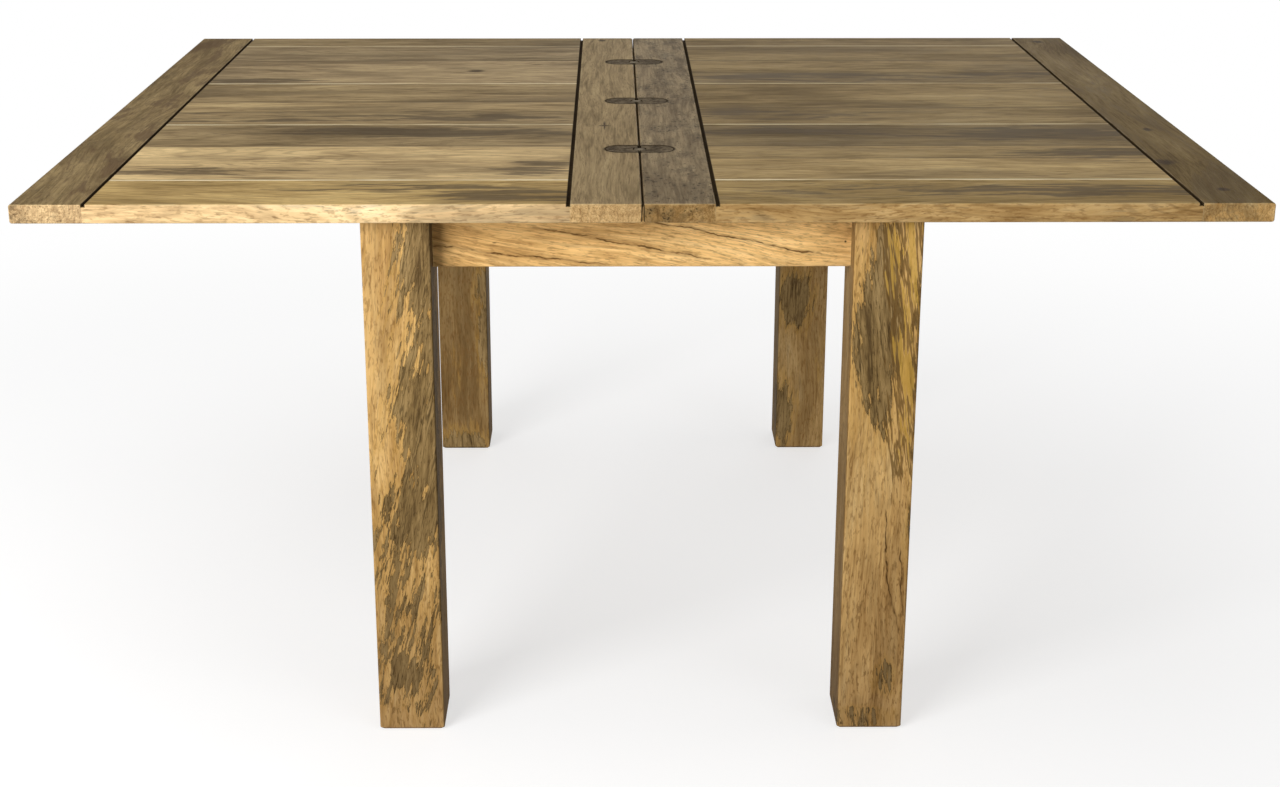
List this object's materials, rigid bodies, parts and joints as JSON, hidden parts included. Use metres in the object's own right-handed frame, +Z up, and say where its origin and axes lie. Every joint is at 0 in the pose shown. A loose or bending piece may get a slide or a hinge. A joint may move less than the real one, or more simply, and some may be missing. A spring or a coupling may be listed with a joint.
{
  "type": "butterfly extension table",
  "caption": "Fold-over extension dining table in mango wood: two leaves joined by flush link hinges fold together and slide to centre on a square-legged frame.",
  "frame": {"origin": "on the floor under the middle of the open top, where the hinge line crosses it", "axes": "+X to the right along the open top's length, +Y to the back along the hinge line, +Z up"},
  "size_m": [1.6, 1.2, 0.77],
  "materials": {
    "mango_wood": "waxed, strongly figured",
    "hinge_iron": "dark bronzed",
    "zinc_steel": "zinc plated",
    "felt": "pressed felt"
  },
  "bodies": {
    "frame": {"apron_back": "mango_wood", "apron_front": "mango_wood", "apron_left": "mango_wood", "apron_right": "mango_wood", "corner_block_back_left": "mango_wood", "corner_block_back_right": "mango_wood", "corner_block_front_left": "mango_wood", "corner_block_front_right": "mango_wood", "corner_block_screws": "zinc_steel", "glide_pads": "felt", "guide_rail_back": "mango_wood", "guide_rail_front": "mango_wood", "leg_back_left": "mango_wood", "leg_back_right": "mango_wood", "leg_bolts": "zinc_steel", "leg_front_left": "mango_wood", "leg_front_right": "mango_wood", "leg_nuts": "zinc_steel", "leg_washers": "zinc_steel"},
    "slide_leaf": {"right_back_rail": "mango_wood", "right_field_back": "mango_wood", "right_field_front": "mango_wood", "right_field_middle": "mango_wood", "right_front_rail": "mango_wood", "right_hinge_pins": "hinge_iron", "right_hinge_plate_back": "hinge_iron", "right_hinge_plate_front": "hinge_iron", "right_hinge_plate_middle": "hinge_iron", "right_hinge_screws": "hinge_iron", "right_hinge_stile": "mango_wood", "right_outer_stile": "mango_wood", "slide_batten_back": "mango_wood", "slide_batten_front": "mango_wood", "slide_batten_screws": "zinc_steel"},
    "hinge_links": {"hinge_link_back": "hinge_iron", "hinge_link_front": "hinge_iron", "hinge_link_middle": "hinge_iron"},
    "flap_leaf": {"left_back_rail": "mango_wood", "left_field_back": "mango_wood", "left_field_front": "mango_wood", "left_field_middle": "mango_wood", "left_front_rail": "mango_wood", "left_hinge_pins": "hinge_iron", "left_hinge_plate_back": "hinge_iron", "left_hinge_plate_front": "hinge_iron", "left_hinge_plate_middle": "hinge_iron", "left_hinge_screws": "hinge_iron", "left_hinge_stile": "mango_wood", "left_outer_stile": "mango_wood"}
  },
  "joints": [
    {"name": "top_slide", "type": "slide", "parent": "frame", "child": "slide_leaf", "axis": [-1, 0, 0], "range_m": [0, 0.40025]},
    {"name": "link_swing", "type": "hinge", "parent": "slide_leaf", "child": "hinge_links", "pos_m": [0.005, 0, 0.7656], "axis": [0, 1, 0], "range_deg": [0, 90]},
    {"name": "flap_turn", "type": "hinge", "parent": "hinge_links", "child": "flap_leaf", "pos_m": [-0.005, 0, 0.7656], "axis": [0, 1, 0], "range_deg": [0, 90]}
  ]
}
